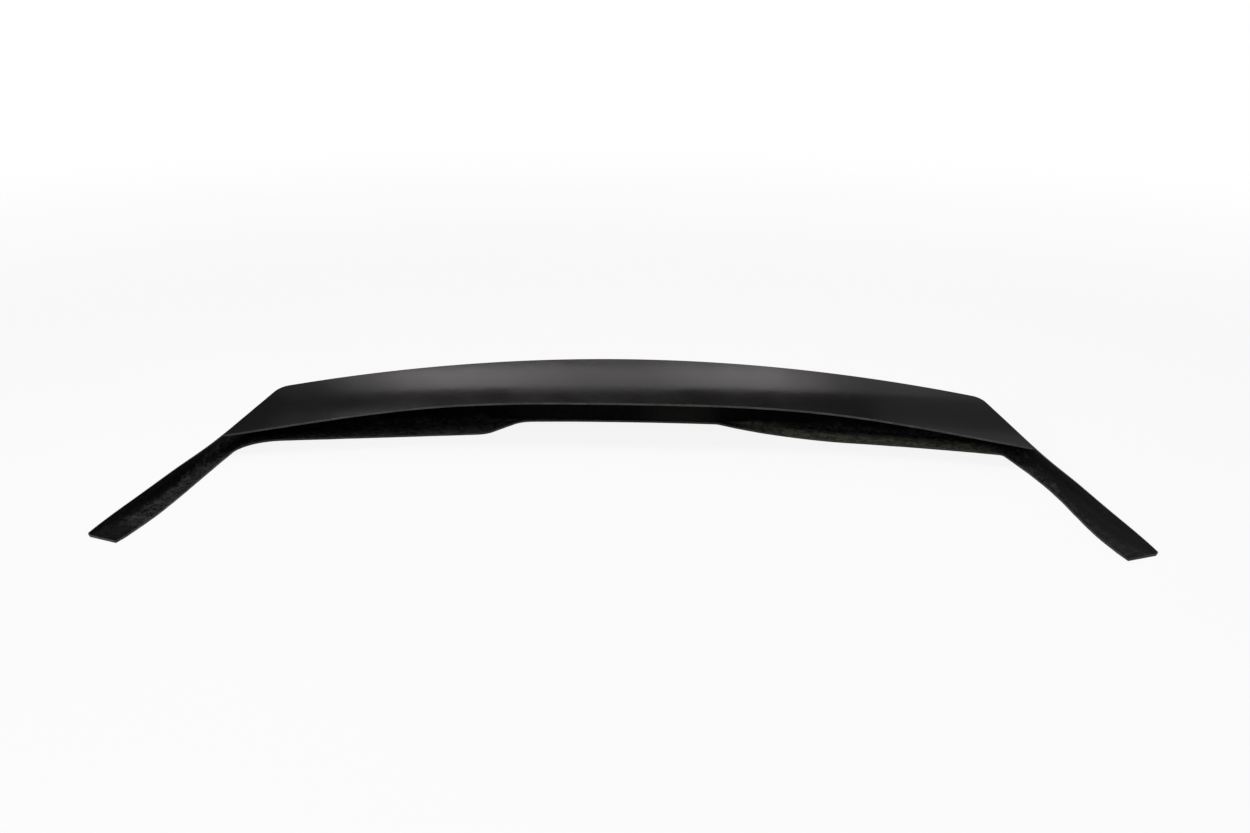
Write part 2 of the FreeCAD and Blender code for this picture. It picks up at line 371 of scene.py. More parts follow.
def lead_line():
    """Plan view of the leading edge, from beyond its left end to beyond its right one."""
    bend = np.array([LEAD_BEND_X, -LEAD_BEND_AHEAD])
    end = np.array([LEAD_END_X, -LEAD_END_AHEAD])
    right = np.array([bend, end, 2 * end - bend])
    left = right[::-1] * np.array([-1.0, 1.0])
    return fine_curve(np.vstack([left, [[0.0, -LEAD_AHEAD]], right]))


PROFILE = top_profile()
LEAD = lead_line()


def top_z(x, y):
    return np.interp(y, PROFILE[:, 0], PROFILE[:, 1]) + crown(x)


def on_top(plan, drop=0.0):
    """Plan points on the top surface, or as far below it as drop says."""
    return lift(plan, top_z(plan[..., 0], plan[..., 1]) - drop)


def lead_y(x):
    return np.interp(x, LEAD[:, 0], LEAD[:, 1])


def crest_levels(kind, s):
    """Heights at which the outer wall, the inner wall and the ceiling meet the top surface."""
    flat = np.zeros(len(s))
    tall = np.full(len(s), TALL)

    def outside(z):
        spot, _ = wall(kind, s, z)
        return z - top_z(spot[:, 0], spot[:, 1])

    def inside(z):
        spot = inner_wall(kind, s, z)
        return z - top_z(spot[:, 0], spot[:, 1])

    return (solve(outside, flat, tall), solve(inside, flat, tall),
            solve(lambda z: inside(z) + LAMINATE, flat, tall))


def merge_share():
    """Share of the leg at which the leading edge runs into the leg's own top."""
    kind = np.array([LEG])

    def behind(share):
        _, edge, _ = crest_levels(kind, share)
        spot = inner_wall(kind, share, edge)
        return lead_y(spot[:, 0]) - spot[:, 1]

    low, high = MERGE_SEARCH
    return float(solve(behind, [low], [high])[0])


def stations():
    """Kind of each station from the middle to a tip, and its share of the stretch of that kind."""
    merge = merge_share()
    rear = np.linspace(0.0, 1.0, REAR_STEPS + 1)
    turn = np.linspace(0.0, 1.0, CORNER_STEPS + 1)[1:]
    near = np.linspace(0.0, merge, SKIN_LEG_STEPS + 1)[1:]
    far = np.linspace(merge, 1.0, LEG_STEPS + 1)[1:]
    kind = np.concatenate([np.full(len(rear), REAR), np.full(len(turn), CORNER),
                           np.full(len(near) + len(far), LEG)])
    return kind, np.concatenate([rear, turn, near, far])


KIND, SHARE = stations()
COUNT = len(SHARE)
COLUMN = np.arange(COUNT)


def shell_levels():
    """Heights of the crest, of its inner edge and of the ceiling, kept apart where the leg runs out."""
    crest, edge, ceiling = crest_levels(KIND, SHARE)
    ceiling = np.maximum(ceiling, LAMINATE + LEAST_WALL)
    return crest, np.maximum(edge, ceiling + LEAST_EDGE), ceiling


def outer_at(z):
    """Points of the outer wall, one to a station, at a height."""
    z = np.broadcast_to(np.asarray(z, float), SHARE.shape)
    return lift(wall(KIND, SHARE, z)[0], z)


def inner_at(z):
    """Points of the inner wall, one to a station, at a height."""
    z = np.broadcast_to(np.asarray(z, float), SHARE.shape)
    return lift(inner_wall(KIND, SHARE, z), z)


# Lines along one half that both halves share: crest, foot, inner edge of the crest, fold and roof.
CREST, EDGE, CEILING = shell_levels()
TOP = outer_at(CREST)
FOOT = outer_at(0.0)
INNER_EDGE = inner_at(EDGE)
FOLD = inner_at(LAMINATE)
ROOF = inner_at(CEILING)


def rounded_path(points, corners):
    """Polyline with the corners at the given indices rounded to the given radii."""
    out = []
    for i, p in enumerate(points):
        radius = corners.get(i, 0.0)
        if radius == 0.0:
            out.append(p)
            continue
        back = unit(points[i - 1] - p)
        ahead = unit(points[i + 1] - p)
        half = math.acos(float(np.clip(back @ ahead, -1.0, 1.0))) / 2.0
        reach = radius / math.tan(half)
        centre = p + unit(back + ahead) * (radius / math.sin(half))
        a = p + back * reach - centre
        b = p + ahead * reach - centre
        sweep = math.pi - 2.0 * half
        out = [q for q in out if (q - p) @ back > reach or np.linalg.norm(q - p) > 2.0 * reach]
        for t in np.linspace(0.0, 1.0, ARC_POINTS):
            out.append(centre + (math.sin((1 - t) * sweep) * a + math.sin(t * sweep) * b)
                       / math.sin(sweep))
    return np.array(out)


def round_off(corner, first, second, radius, room, rows):
    """Arc rows that round a corner, from along first to along second."""
    cosine = np.clip((first * second).sum(-1), -STRAIGHT, STRAIGHT)
    half = np.arccos(cosine) / 2.0
    radius = np.minimum(radius, room * np.tan(half))
    reach = (radius / np.tan(half))[:, None]
    bisector = unit(first + second)
    centre = corner + bisector * (radius / np.sin(half))[:, None]
    a = corner + first * reach - centre
    b = corner + second * reach - centre
    sweep = (math.pi - 2.0 * half)[:, None]
    arcs = []
    for k in range(rows):
        t = k / (rows - 1)
        arc = (np.sin((1 - t) * sweep) * a + np.sin(t * sweep) * b) / np.sin(sweep)
        arcs.append(centre + arc)
    return np.array(arcs)


def notch_lip(near):
    """Edge of the narrow lip in the notch, from the middle towards the foot of its flank."""
    x = np.linspace(0.0, near, NOTCH_POINTS)[:-1]
    return np.stack([x, rear_arc_y(x, REAR_RADIUS - NOTCH_LIP)], -1)


def flank_ends(near, length):
    """Ends of a flank of the notch: on the lip, and on the full rear flange."""
    far = near + length
    return (np.array([near, rear_arc_y(near, REAR_RADIUS - NOTCH_LIP)]),
            np.array([far, rear_arc_y(far, REAR_RADIUS - REAR_FLANGE)]))


def right_rear_edge():
    """Lip and long hollow flank on the right, and the line that the flange's edge then keeps to."""
    a, b = flank_ends(NOTCH_RIGHT, NOTCH_RIGHT_FLANK)
    t = np.linspace(0.0, 1.0, NOTCH_POINTS)[:, None]
    chord = b - a
    flank = a + chord * t + unit(right_of(chord)) * NOTCH_RIGHT_HOLLOW * 4.0 * t * (1.0 - t)

    def edge_y(x):
        return rear_arc_y(x, REAR_RADIUS - REAR_FLANGE)

    return np.vstack([notch_lip(NOTCH_RIGHT), flank]), edge_y


def left_rear_edge():
    """Lip and short rounded flank on the left, and the line that the flange's edge then keeps to."""
    a, b = flank_ends(NOTCH_LEFT, NOTCH_LEFT_FLANK)
    end = np.array([CORNER_X, rear_arc_y(CORNER_X, REAR_RADIUS - LEFT_END_FLANGE)])
    lip = notch_lip(NOTCH_LEFT)
    before = a + (lip[-1] - a) * LIP_STEPS
    after = b + (end - b) * EDGE_SHARE
    turn = rounded_path(np.array([before, a, b, after]), {1: NOTCH_LEFT_ROUND, 2: NOTCH_LEFT_ROUND})

    def edge_y(x):
        return b[1] + (x - b[0]) * (end[1] - b[1]) / (end[0] - b[0])

    return np.vstack([lip[lip[:, 0] < turn[1, 0] - 1.0], turn[1:-1]]), edge_y


def cut_at_tip(leg):
    """The part of a line down the leg that lies behind the skewed end of the tip."""
    past = TIP_FLANGE * (leg[:, 1] + TIP_AHEAD) - TIP_SKEW * (leg[:, 0] - TIP_TOP_X)
    stop = int(np.argmax(past < 0.0))
    share = past[stop - 1] / (past[stop - 1] - past[stop])
    tip = leg[stop - 1] * (1.0 - share) + leg[stop] * share
    return np.vstack([leg[:stop], tip[None]])


def flange_path(side):
    """Plan line of the flange's inner edge on one half as drawn, in three parts from the middle."""
    rear, edge_y = right_rear_edge() if side > 0 else left_rear_edge()
    widths = np.array(RIGHT_FLANGE if side > 0 else LEFT_FLANGE)
    radius = RIGHT_FLANGE_ROUND if side > 0 else LEFT_FLANGE_ROUND
    line = spline(PACE, FOOT_POINTS - np.stack([widths, np.zeros_like(widths)], -1))

    def behind_rear_edge(p):
        return edge_y(line(p)[:, 0]) - line(p)[:, 1]

    corner_pace = float(solve(behind_rear_edge, [0.0], [CORNER_SEARCH])[0])
    corner = line(corner_pace)
    run_x = np.linspace(rear[-1, 0], corner[0], RUN_POINTS)[1:]
    rear = np.vstack([rear, np.stack([run_x, edge_y(run_x)], -1)])
    leg = line(np.linspace(corner_pace, TIP_PACE + PAST_TIP, LEG_POINTS)[1:])
    before = corner + unit(rear[-NEARBY_POINT] - corner) * 2.0 * radius
    after = corner + unit(leg[NEARBY_POINT] - corner) * 2.0 * radius
    bend = rounded_path(np.array([before, corner, after]), {1: radius})[1:-1]
    rear = rear[rear[:, 0] < bend[0, 0] - 1.0]
    leg = leg[leg[:, 1] < bend[-1, 1] - 1.0]
    return np.vstack([rear, bend[:1]]), bend, np.vstack([bend[-1:], cut_at_tip(leg)])


def along_path(path, share):
    """Points at shares of the way along a polyline."""
    run = run_along(path)
    run /= run[-1]
    return np.stack([np.interp(share, run, path[:, k]) for k in range(2)], -1)


def flange_edge(side):
    """The flange's inner edge as drawn, one point to each station of one half."""
    rear, bend, leg = flange_path(side)
    on_rear = np.stack([np.interp(SHARE * rear[-1, 0], rear[:, 0], rear[:, k]) for k in range(2)], -1)
    edge = np.where((KIND == REAR)[:, None], on_rear, along_path(leg, SHARE))
    return np.where((KIND == CORNER)[:, None], along_path(bend, SHARE), edge)


def trimmed_flange(side):
    """The flange's inner edge as cut by hand: a little short of its drawn line, and uneven."""
    flange = flange_edge(side)
    run = run_along(flange) + FLANGE_SIDE_OFFSET * side
    wobble = FLANGE_WAVE * noise_along(run, FLANGE_WAVE_LENGTH, FLANGE_WAVE_SEED)
    wobble += FLANGE_NICK * noise_along(run, FLANGE_NICK_LENGTH, FLANGE_NICK_SEED)
    wobble *= ease((COUNT - 1 - COLUMN) / FLANGE_FADE_STEPS)
    outward = flange - FOOT[:, :2]
    width = np.linalg.norm(outward, axis=1, keepdims=True)
    wide = ease((width - NARROW_FLANGE) / FLANGE_WIDENING)
    return flange - unit(outward) * (FLANGE_SHORT + wobble)[:, None] * wide


def leading_edge(side):
    """Upper and lower line of the top skin's leading edge, and past the merge of the wall's own top."""
    on_skin = (COLUMN <= MERGE_COLUMN)[:, None]
    run = run_along(TOP[:, :2])
    x = INNER_EDGE[MERGE_COLUMN, 0] * run / run[MERGE_COLUMN]
    ragged = LEAD_WAVE * noise_along(run + LEAD_SIDE_OFFSET * side, LEAD_WAVE_LENGTH, LEAD_WAVE_SEED)
    ragged += LEAD_NICK * noise_along(run, LEAD_NICK_LENGTH, LEAD_NICK_SEED)
    ragged *= ease((MERGE_COLUMN - COLUMN) / LEAD_FADE_STEPS)
    lead = np.stack([x, lead_y(x) + ragged], -1)
    lead[MERGE_COLUMN] = INNER_EDGE[MERGE_COLUMN, :2]
    upper = np.where(on_skin, on_top(lead), INNER_EDGE)
    upper[MERGE_COLUMN, 2] = EDGE[MERGE_COLUMN]
    lower = np.where(on_skin, lift(lead, upper[:, 2] - LAMINATE), ROOF)
    lower[MERGE_COLUMN] = ROOF[MERGE_COLUMN]
    return upper, lower


def crest_round(lead_top):
    """Rows of the small round where the top surface turns down into the wall."""
    down = unit(outer_at(CREST - 1.0) - TOP)
    forward = lead_top[:, :2] - TOP[:, :2]
    along = unit(on_top(TOP[:, :2] + unit(forward)) - TOP)
    room = np.minimum(CREST_ROOM_DOWN * CREST, CREST_ROOM_AHEAD * np.linalg.norm(forward, axis=1))
    return round_off(TOP, along, down, CREST_ROUND, room, ROUND_ROWS)


def foot_round():
    """Rows of the small round where the wall turns into the underside of the flange."""
    up = unit(outer_at(1.0) - FOOT)
    _, heading = wall(KIND, SHARE, FOOT[:, 2])
    inward = lift(right_of(heading), 0.0)
    return round_off(FOOT, up, inward, FOOT_ROUND, FOOT_ROOM * CREST, ROUND_ROWS)


def outer_side(crest, flange_low):
    """Crest, wall, foot and underside of the flange, as rows from top to bottom."""
    foot = foot_round()
    rows = [crest]
    for t in [SUPPORT] + [k / WALL_ROWS for k in range(1, WALL_ROWS)] + [1.0 - SUPPORT]:
        rows.append(outer_at(crest[-1, :, 2] * (1 - t) + foot[0, :, 2] * t)[None])
    rows.append(foot)
    rows.append(between(foot[-1], flange_low, UNDER_ROWS)[1:])
    return np.concatenate(rows)


def top_skin(lead_top, crest_line):
    """Top skin from the leading edge back to the crest; on the leg, the trimmed top of the wall."""
    t = np.append(np.linspace(0.0, 1.0 - SUPPORT, SKIN_ROWS - 1), 1.0)[:, None]
    t_leg = np.round(t * (EDGE_ROWS - 1)) / (EDGE_ROWS - 1)
    t = np.where((COLUMN < MERGE_COLUMN)[None], t, t_leg)[..., None]
    rows = on_top(lead_top[None, :, :2] * (1 - t) + crest_line[None, :, :2] * t)
    rows[0] = lead_top
    rows[-1] = crest_line
    return rows


def fold_round(flange_high):
    """Rows of the fold from the flange's upper side into the inner wall, wider along the legs."""
    to_flange = unit(flange_high - FOLD)
    to_wall = unit(inner_at(LAMINATE + 1.0) - FOLD)
    width = np.linalg.norm(flange_high - FOLD, axis=1)
    room = np.minimum(FOLD_ROOM * width, FOLD_ROOM * (CEILING - LAMINATE))
    on_leg = FOLD_ROUND + (LEG_FOLD_ROUND - FOLD_ROUND) * ease(SHARE / FOLD_GROWTH)
    radius = np.where(KIND == LEG, on_leg, FOLD_ROUND)
    return round_off(FOLD, to_flange, to_wall, radius, room, ROUND_ROWS)


def roof_round(lead_low):
    """Rows of the fold from the inner wall into the ceiling; past the merge, the wall's top line."""
    to_inside = unit(inner_at(CEILING - 1.0) - ROOF)
    forward = lead_low[:, :2] - ROOF[:, :2]
    to_lead = unit(on_top(ROOF[:, :2] + unit(forward), LAMINATE) - ROOF)
    width = np.linalg.norm(forward, axis=1)
    room = np.minimum(ROOF_ROOM * width, FOLD_ROOM * (CEILING - LAMINATE))
    rows = round_off(ROOF, to_inside, to_lead, ROOF_ROUND, room, ROUND_ROWS)
    return np.where((COLUMN < MERGE_COLUMN)[None, :, None], rows, ROOF[None])


def ceiling(roof_line, lead_low):
    """Rows under the top skin, from the roof's fold forward to the leading edge."""
    t = np.linspace(0.0, 1.0, CEILING_ROWS)[1:, None, None]
    rows = on_top(roof_line[None, :, :2] * (1 - t) + lead_low[None, :, :2] * t, LAMINATE)
    rows[-1] = lead_low
    rows = np.where((COLUMN <= MERGE_COLUMN)[None, :, None], rows, ROOF[None])
    rows[:, MERGE_COLUMN] = ROOF[MERGE_COLUMN]
    return rows


def layup_side(flange_high, lead_low):
    """Flange's upper side, fold, inner wall, roof's fold and ceiling, as rows from the flange's edge."""
    fold = fold_round(flange_high)
    roof = roof_round(lead_low)
    rows = [between(flange_high, fold[0], FLANGE_ROWS)[:-1], fold]
    for k in range(1, INSIDE_ROWS):
        t = k / INSIDE_ROWS
        rows.append(inner_at(fold[-1, :, 2] * (1 - t) + roof[0, :, 2] * t)[None])
    rows.append(roof)
    rows.append(ceiling(roof[-1], lead_low))
    return np.concatenate(rows)


def half_shell(side):
    """Every surface of one half as grids of rows by stations, in millimetres."""
    lead_top, lead_low = leading_edge(side)
    crest = crest_round(lead_top)
    flange = trimmed_flange(side)
    flange_low = lift(flange, 0.0)
    flange_high = lift(flange, LAMINATE)
    return {"top": top_skin(lead_top, crest[0]),
            "outside": outer_side(crest, flange_low),
            "flange_face": between(flange_low, flange_high, EDGE_ROWS),
            "inside": layup_side(flange_high, lead_low),
            "lead_face": between(lead_low, lead_top, EDGE_ROWS)}


def whole_shell():
    """The same grids from the left tip to the right one."""
    right = half_shell(1)
    left = half_shell(-1)
    flip = np.array([-1.0, 1.0, 1.0])
    return {name: np.concatenate([left[name][:, :0:-1] * flip, right[name]], axis=1) for name in right}


def change_along(leg_share, change):
    """A change along a leg, given as how much, from what share of the leg and over what share."""
    amount, start, length = change
    return amount * ease((leg_share - start) / length)


def fibre_share(grid, reach, side, leg_share):
    """How far the lay-up shows dry mat: over the flange, up the left leg's root, dull at the tips."""
    fold = reach[FLANGE_ROWS - 1 + ROUND_ROWS // 2]
    right = MAT_BORDER - change_along(leg_share, RIGHT_LEG_WET) + change_along(leg_share, RIGHT_TIP_DRY)
    left = MAT_BORDER + change_along(leg_share, LEFT_ROOT_DRY) - change_along(leg_share, LEFT_LEG_WET)
    border = np.where(side > 0, right, left)
    ragged = layered_noise(grid, MAT_RAGGED)
    ragged *= np.where(leg_share > 0.0, 1.0, MAT_RAGGED_REAR)[None]
    mat = 1.0 - ease((reach / fold - border[None] + ragged) / MAT_SOFTNESS + 0.5)
    dull = np.where(side > 0, change_along(leg_share, RIGHT_LEG_DULL),
                    change_along(leg_share, LEFT_TIP_DULL))
    return mat * (1.0 - dull[None])


def add_layup(grid):
    """Give the lay-up side its low lumps, none at its trimmed edges."""
    normal = np.cross(np.gradient(grid, axis=1), np.gradient(grid, axis=0))
    size = np.linalg.norm(normal, axis=-1, keepdims=True)
    normal = np.where(size > FLAT, normal / np.maximum(size, FLAT), 0.0)
    reach = reach_across(grid)
    mask = ease(reach / LUMP_MARGIN) * ease((reach[-1][None] - reach) / LUMP_MARGIN)
    return grid + normal * (mask * (LUMP_RISE + layered_noise(grid, LUMPS)))[..., None]


# Material of each surface: up to the merge of the leading edge with the leg, and past it.
SURFACES = (("top", GELCOAT, CUT), ("outside", GELCOAT, GELCOAT), ("flange_face", CUT, CUT),
            ("inside", LAYUP, LAYUP), ("lead_face", CUT, LAYUP))


def grid_faces(first, rows, columns):
    """Corners of a grid's faces, row by row, with its points numbered from first."""
    corners = []
    for r in range(rows - 1):
        for c in range(columns - 1):
            a = first + r * columns + c
            corners.append((a, a + columns, a + columns + 1, a + 1))
    return corners


def build_shell():
    """Points, faces, material slots, surface coordinates and fibre shares of the whole shell."""
    grids = whole_shell()
    grids["inside"] = add_layup(grids["inside"])
    columns = 2 * COUNT - 1
    middle = COUNT - 1
    past_merge = np.abs(np.arange(columns - 1) + 0.5 - middle) > MERGE_COLUMN
    run = run_along(grids["outside"][0])
    run -= run[middle]
    half_share = np.where(KIND == LEG, SHARE, 0.0)
    leg_share = np.concatenate([half_share[:0:-1], half_share])
    side = np.sign(np.arange(columns) - middle)
    points, faces, slots, marks, fibre, rings = [], [], [], [], [], []
    for name, slot, leg_slot in SURFACES:
        grid = grids[name]
        grid[..., 0] = np.clip(grid[..., 0], -TIP_REACH, TIP_REACH)
        rows = len(grid)
        reach = reach_across(grid)
        rings.append((len(points), rows))
        faces.extend(grid_faces(len(points), rows, columns))
        slots.extend(np.where(past_merge, leg_slot, slot).tolist() * (rows - 1))
        points.extend(map(tuple, (grid.reshape(-1, 3) + np.array([0.0, SHIFT_Y, 0.0])) * MM))
        marks.extend(zip((np.broadcast_to(run, reach.shape) * MM).ravel(), (reach * MM).ravel()))
        if name == "inside":
            fibre.extend(fibre_share(grid, reach, side, leg_share).ravel())
        else:
            fibre.extend([float(name == "flange_face")] * reach.size)
    for column in (0, columns - 1):
        faces.append(tuple(first + r * columns + column for first, rows in rings for r in range(rows)))
        slots.append(CUT)
    return points, faces, slots, marks, fibre


def make_mesh():
    """The shell's mesh, closed, with sharp edges only where the material changes."""
    points, faces, slots, marks, fibre = build_shell()
    mesh = bpy.data.meshes.new("spoiler")
    mesh.from_pydata(points, [], faces)
    mesh.polygons.foreach_set("material_index", slots)
    mesh.attributes.new("fibre", "FLOAT", "POINT").data.foreach_set("value", fibre)
    layer = mesh.uv_layers.new(name="surface")
    marks = np.array(marks)
    index = np.empty(len(mesh.loops), dtype=np.int32)
    mesh.loops.foreach_get("vertex_index", index)
    layer.data.foreach_set("uv", marks[index].ravel().astype(np.float32))
    work = bmesh.new()
    work.from_mesh(mesh)
    bmesh.ops.remove_doubles(work, verts=work.verts, dist=WELD)
    bmesh.ops.dissolve_degenerate(work, edges=work.edges, dist=SLIVER)
    bmesh.ops.triangulate(work, faces=[f for f in work.faces if len(f.verts) > 4])
    bmesh.ops.recalc_face_normals(work, faces=work.faces)
    for face in work.faces:
        face.smooth = True
    for edge in work.edges:
        if len(edge.link_faces) == 2:
            a, b = edge.link_faces
            edge.smooth = a.material_index == b.material_index
    work.to_mesh(mesh)
    work.free()
    return mesh


def new_material(name):
    material = bpy.data.materials.new(name)
    material.use_nodes = True
    tree = material.node_tree
    return material, tree, tree.nodes["Principled BSDF"]


def add(tree, kind, **values):
    """New node; a value whose name starts with in_ is set on the input of that name."""
    node = tree.nodes.new(kind)
    for name, value in values.items():
        if name.startswith("in_"):
            node.inputs[name[3:].replace("_", " ")].default_value = value
        else:
            setattr(node, name, value)
    return node


def feed(tree, socket, value):
    """Link an output to a socket, or set a plain value on it."""
    if isinstance(value, (int, float, tuple)):
        socket.default_value = value
    else:
        tree.links.new(value, socket)


def ramp(tree, source, low, high, from_value=0.0, to_value=1.0):
    """Smooth step from one value to another as the source goes from low to high."""
    node = add(tree, "ShaderNodeMapRange", interpolation_type="SMOOTHSTEP", in_From_Min=low,
               in_From_Max=high, in_To_Min=from_value, in_To_Max=to_value)
    tree.links.new(source, node.inputs["Value"])
    return node.outputs["Result"]


def math_node(tree, operation, a, b):
    node = add(tree, "ShaderNodeMath", operation=operation)
    feed(tree, node.inputs[0], a)
    feed(tree, node.inputs[1], b)
    return node.outputs["Value"]


def times(tree, a, b):
    return math_node(tree, "MULTIPLY", a, b)


def plus(tree, a, b):
    return math_node(tree, "ADD", a, b)


def vector_node(tree, operation, a, b):
    node = add(tree, "ShaderNodeVectorMath", operation=operation)
    feed(tree, node.inputs[0], a)
    feed(tree, node.inputs[1], b)
    return node.outputs["Vector"]


def mix_colour(tree, share, a, b):
    node = add(tree, "ShaderNodeMix", data_type="RGBA")
    feed(tree, node.inputs["Factor"], share)
    feed(tree, node.inputs[6], a)
    feed(tree, node.inputs[7], b)
    return node.outputs[2]


def noise(tree, vector, scale, detail=2.0, roughness=0.5):
    node = add(tree, "ShaderNodeTexNoise", in_Scale=scale, in_Detail=detail, in_Roughness=roughness)
    tree.links.new(vector, node.inputs["Vector"])
    return node.outputs["Fac"]


def split(tree, vector):
    """The X, Y and Z outputs of a vector."""
    node = add(tree, "ShaderNodeSeparateXYZ")
    tree.links.new(vector, node.inputs["Vector"])
    return node.outputs


def set_bump(tree, shader, height, strength, distance):
    bump = add(tree, "ShaderNodeBump", in_Strength=strength, in_Distance=distance)
    tree.links.new(height, bump.inputs["Height"])
    tree.links.new(bump.outputs["Normal"], shader.inputs["Normal"])


# Gelcoat: black with a faint cloud and a few specks of dust.
GELCOAT_DARK, GELCOAT_LIGHT = (0.0036, 0.0035, 0.0038, 1), (0.0054, 0.0052, 0.0056, 1)
GELCOAT_DUST = (0.05, 0.048, 0.046, 1)


def gelcoat_material():
    material, tree, shader = new_material("satin_gelcoat")
    place = add(tree, "ShaderNodeTexCoord").outputs["Object"]
    cloud = noise(tree, place, scale=14.0, detail=3.0)
    fine = noise(tree, place, scale=900.0)
    speck = add(tree, "ShaderNodeTexVoronoi", in_Scale=260.0)
    tree.links.new(place, speck.inputs["Vector"])
    dust = times(tree, ramp(tree, speck.outputs["Distance"], 0.05, 0.11, 1.0, 0.0),
                 ramp(tree, noise(tree, place, scale=55.0), 0.60, 0.68))
    colour = mix_colour(tree, cloud, GELCOAT_DARK, GELCOAT_LIGHT)
    tree.links.new(mix_colour(tree, dust, colour, GELCOAT_DUST), shader.inputs["Base Color"])
    rough = plus(tree, ramp(tree, cloud, 0.3, 0.7, 0.09, 0.13), times(tree, fine, 0.03))
    tree.links.new(plus(tree, rough, times(tree, dust, 0.25)), shader.inputs["Roughness"])
    peel = plus(tree, times(tree, noise(tree, place, scale=420.0, detail=1.0), 0.5),
                times(tree, noise(tree, place, scale=60.0, detail=1.0), 1.5))
    set_bump(tree, shader, peel, strength=0.25, distance=0.00012)
    return material


# Raw lay-up: strands and hairs with their directions in radians, their width and length in metres,
# the levels between which their noise starts to show, and how far they bend.
STRAND_ANGLES, STRAND_SIZE, STRAND_LEVELS = (0.25, 1.02, 1.75, 2.36, 2.98), (0.0017, 0.024), (0.60, 0.69)
HAIR_ANGLES, HAIR_SIZE, HAIR_LEVELS = (0.6, 1.4, 2.1, 2.7), (0.00035, 0.016), (0.66, 0.74)
STRAND_SHIFT, HAIR_START, HAIR_SHIFT, STRAND_BEND = 0.37, 0.53, 0.29, 0.012

# Where it changes, in metres across the part, along it, and in from the trimmed edge: each change
# goes from the first place to the second.
BARE_RIGHT_STARTS, BARE_RIGHT_ENDS, BARE_RIGHT_DEPTH = (0.14, 0.25), (0.50, 0.58), (0.036, 0.062)
BARE_LEFT_ENDS, BARE_LEFT_ALONG, BARE_LEFT_DEPTH = (-0.24, -0.16), (-0.02, 0.10), (0.024, 0.044)
# The right leg's start is where its painted light begins, on the wet resin of its inner wall.
PALE_STARTS, PALE_ENDS, RIGHT_LEG_PAINTED_LIGHT_STARTS = (0.00, 0.06), (0.10, 0.15), (0.56, 0.61)
BARE_WANDER = 0.03

# Its colours: wet resin dark, light and pale, then in the right leg lighter still, painted light as if
# the lamps on the left lit its inner face more, and then the parts of the dry mat, as they are in most
# places and where the mat lies bare.
WET_DARK, WET_LIGHT = (0.0048, 0.0048, 0.0055, 1), (0.0072, 0.0072, 0.0081, 1)
WET_PALE, WET_RIGHT_LEG_PAINTED_LIGHT = (0.0270, 0.0275, 0.0225, 1), (0.0165, 0.0163, 0.0170, 1)
RESIN, BARE_RESIN = (0.0012, 0.0011, 0.0012, 1), (0.105, 0.105, 0.078, 1)
CLUMP, BARE_CLUMP = (0.0430, 0.0422, 0.0426, 1), (0.300, 0.298, 0.236, 1)
STRAND, BARE_STRAND = (0.0720, 0.0710, 0.0710, 1), (0.35, 0.346, 0.28, 1)
HAIR, BARE_HAIR = (0.190, 0.186, 0.182, 1), (0.36, 0.35, 0.30, 1)


def strand_warp(tree, place):
    """Small shifts that bend the strands."""
    bend = add(tree, "ShaderNodeTexNoise", in_Scale=28.0, in_Detail=1.0)
    tree.links.new(place, bend.inputs["Vector"])
    centred = vector_node(tree, "SUBTRACT", bend.outputs["Color"], (0.5, 0.5, 0.5))
    warp = add(tree, "ShaderNodeVectorMath", operation="SCALE", in_Scale=STRAND_BEND)
    tree.links.new(centred, warp.inputs[0])
    return warp.outputs["Vector"]


def strand_mask(tree, surface, warp, angle, shift, size, levels):
    """Strands of one direction: noise drawn out along it."""
    width, length = size
    turned = add(tree, "ShaderNodeMapping", vector_type="POINT", in_Location=(shift, shift * 1.7, 0),
                 in_Rotation=(0, 0, angle))
    tree.links.new(surface, turned.inputs["Vector"])
    bent = vector_node(tree, "ADD", turned.outputs["Vector"], warp)
    drawn = vector_node(tree, "MULTIPLY", bent, (1.0 / length, 1.0 / width, 1.0))
    texture = add(tree, "ShaderNodeTexNoise", noise_dimensions="2D", in_Scale=1.0, in_Detail=1.0,
                  in_Roughness=0.4)
    tree.links.new(drawn, texture.inputs["Vector"])
    return ramp(tree, texture.outputs["Fac"], *levels)


def strongest(tree, masks):
    most = masks[0]
    for mask in masks[1:]:
        most = math_node(tree, "MAXIMUM", most, mask)
    return most


def bare_mat(tree, place, surface, patchy):
    """Where the mat lies bare and pale: a wide patch on the right flange, a faint one on the left."""
    at = split(tree, place)
    right = times(tree, ramp(tree, at["X"], *BARE_RIGHT_STARTS),
                  ramp(tree, at["X"], *BARE_RIGHT_ENDS, 1.0, 0.0))
    left = times(tree, ramp(tree, at["X"], *BARE_LEFT_ENDS, 0.20, 0.0),
                 ramp(tree, at["Y"], *BARE_LEFT_ALONG))
    from_edge = plus(tree, split(tree, surface)["Y"], times(tree, patchy, BARE_WANDER))
    right = times(tree, right, ramp(tree, from_edge, *BARE_RIGHT_DEPTH, 1.0, 0.03))
    left = times(tree, left, ramp(tree, from_edge, *BARE_LEFT_DEPTH, 1.0, 0.1))
    return times(tree, plus(tree, right, left), ramp(tree, patchy, 0.36, 0.60, 0.60, 1.0))


def wet_colour(tree, place, clumps):
    """Resin over the mat: paler right of the middle, and inside the right leg lighter with painted
    light, as if lit more from the left.
    """
    x = split(tree, place)["X"]
    pale = times(tree, ramp(tree, x, *PALE_STARTS), ramp(tree, x, *PALE_ENDS, 0.8, 0.0))
    wet = mix_colour(tree, clumps, WET_DARK, WET_LIGHT)
    wet = mix_colour(tree, pale, wet, WET_PALE)
    # Painted light: the right leg's inner wall is made lighter, as if the lamps on the left lit it more.
    return mix_colour(tree, ramp(tree, x, *RIGHT_LEG_PAINTED_LIGHT_STARTS), wet, WET_RIGHT_LEG_PAINTED_LIGHT)


